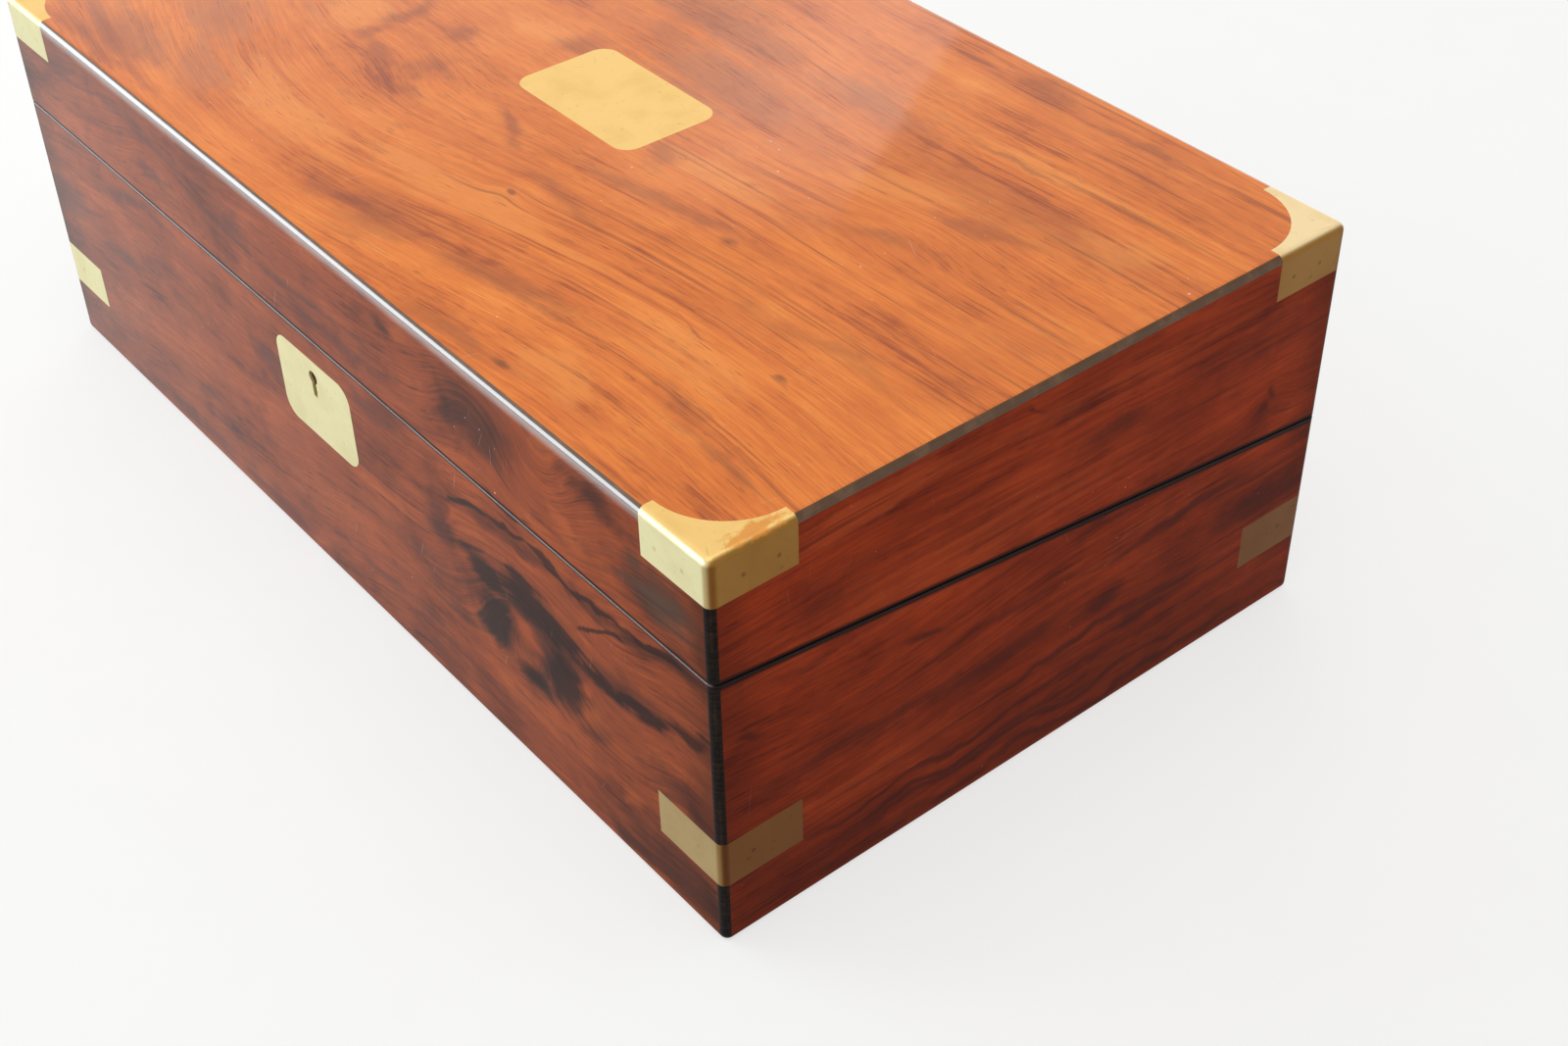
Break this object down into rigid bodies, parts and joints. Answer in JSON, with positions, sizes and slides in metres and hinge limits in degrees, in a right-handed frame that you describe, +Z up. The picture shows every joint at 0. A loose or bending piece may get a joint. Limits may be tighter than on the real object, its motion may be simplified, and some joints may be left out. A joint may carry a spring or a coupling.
{
  "type": "writing slope",
  "caption": "Brass-bound wooden writing slope on a sloping joint: fold-back lid, two leathered writing flaps, pen tray, ink bottles and lock.",
  "frame": {"origin": "the middle of the underside, on the surface the box stands on", "axes": "+X along the keyhole side to the right as seen from the front, +Y to the hinges at the back, +Z up"},
  "size_m": [0.408, 0.2432, 0.1425],
  "materials": {
    "top_veneer": "French polish, gloss",
    "side_veneer": "French polish, gloss",
    "carcass_wood": "satin shellac",
    "ebony": "polished",
    "mount_brass": "softly worn satin",
    "fitting_brass": "satin",
    "writing_leather": "smooth skiver",
    "bottle_glass": "clear, polished"
  },
  "bodies": {
    "base": {"base_bottom_board": "carcass_wood", "base_front_board": "carcass_wood", "base_back_board": "carcass_wood", "base_left_end_board": "carcass_wood", "base_right_end_board": "carcass_wood", "base_front_veneer": "side_veneer", "base_back_veneer": "side_veneer", "base_left_end_veneer": "side_veneer", "base_right_end_veneer": "side_veneer", "base_corner_stringing": "ebony", "base_corner_straps": "mount_brass", "base_strap_pins": "mount_brass", "lock_escutcheon": "mount_brass", "lock_case": "fitting_brass", "lock_cap": "fitting_brass", "base_hinge_leaves": "fitting_brass", "main_hinge_pins": "fitting_brass", "base_rim_screws": "fitting_brass", "pen_partition": "carcass_wood", "pen_compartment_floor": "carcass_wood", "ink_divider_left": "carcass_wood", "ink_divider_right": "carcass_wood", "pen_tray_rests": "carcass_wood", "base_flap_ledges": "carcass_wood", "base_flap_wall_leaves": "fitting_brass", "base_flap_hinge_pins": "fitting_brass"},
    "lid": {"lid_top_board": "carcass_wood", "lid_front_board": "carcass_wood", "lid_back_board": "carcass_wood", "lid_left_end_board": "carcass_wood", "lid_right_end_board": "carcass_wood", "lid_top_veneer": "top_veneer", "lid_front_veneer": "side_veneer", "lid_back_veneer": "side_veneer", "lid_left_end_veneer": "side_veneer", "lid_right_end_veneer": "side_veneer", "lid_stringing": "ebony", "lid_corner_caps": "mount_brass", "lid_cap_pins": "mount_brass", "nameplate": "mount_brass", "lock_link_plate": "fitting_brass", "lock_link_loops": "fitting_brass", "lid_hinge_leaves": "fitting_brass", "lid_rim_screws": "fitting_brass", "lid_flap_ledges": "carcass_wood", "lid_flap_wall_leaves": "fitting_brass", "lid_flap_hinge_pins": "fitting_brass"},
    "base_flap": {"base_flap_board": "carcass_wood", "base_writing_leather": "writing_leather", "base_flap_hinge_leaves": "fitting_brass"},
    "lid_flap": {"lid_flap_board": "carcass_wood", "lid_writing_leather": "writing_leather", "lid_flap_hinge_leaves": "fitting_brass"},
    "tray": {"pen_tray": "carcass_wood"},
    "left_bottle": {"ink_bottle_left": "bottle_glass"},
    "right_bottle": {"ink_bottle_right": "bottle_glass"},
    "left_cap": {"ink_cap_left": "fitting_brass"},
    "right_cap": {"ink_cap_right": "fitting_brass"},
    "bolt": {"lock_bolt": "fitting_brass"}
  },
  "joints": [
    {"name": "lid_hinge", "type": "hinge", "parent": "base", "child": "lid", "pos_m": [0, 0.1209, 0.07125], "axis": [-1, 0, 0], "range_deg": [0, 180]},
    {"name": "base_flap_hinge", "type": "hinge", "parent": "base", "child": "base_flap", "pos_m": [0, 0.1071, 0.07071], "axis": [-1, 0, 0], "range_deg": [0, 60]},
    {"name": "lid_flap_hinge", "type": "hinge", "parent": "lid", "child": "lid_flap", "pos_m": [0, 0.1071, 0.07494], "axis": [1, 0, 0], "range_deg": [0, 60]},
    {"name": "tray_lift", "type": "slide", "parent": "base", "child": "tray", "axis": [0, 0, 1], "range_m": [0, 0.04]},
    {"name": "left_bottle_lift", "type": "slide", "parent": "base", "child": "left_bottle", "axis": [0, 0, 1], "range_m": [0, 0.045]},
    {"name": "right_bottle_lift", "type": "slide", "parent": "base", "child": "right_bottle", "axis": [0, 0, 1], "range_m": [0, 0.045]},
    {"name": "left_cap_lift", "type": "slide", "parent": "left_bottle", "child": "left_cap", "axis": [0, 0, 1], "range_m": [0, 0.02]},
    {"name": "right_cap_lift", "type": "slide", "parent": "right_bottle", "child": "right_cap", "axis": [0, 0, 1], "range_m": [0, 0.02]},
    {"name": "lock_bolt_slide", "type": "slide", "parent": "base", "child": "bolt", "axis": [1, 0, 0], "range_m": [0, 0.005]}
  ],
  "couplings": [
    {"joint": "base_flap_hinge", "follows": "lid_hinge", "ratio": 0.33333},
    {"joint": "lid_flap_hinge", "follows": "lid_hinge", "ratio": 0.33333},
    {"joint": "tray_lift", "follows": "lid_hinge", "m_per_rad": 0.012732},
    {"joint": "left_bottle_lift", "follows": "lid_hinge", "m_per_rad": 0.014324},
    {"joint": "right_bottle_lift", "follows": "lid_hinge", "m_per_rad": 0.014324},
    {"joint": "left_cap_lift", "follows": "lid_hinge", "m_per_rad": 0.0063661},
    {"joint": "right_cap_lift", "follows": "lid_hinge", "m_per_rad": 0.0063661}
  ]
}
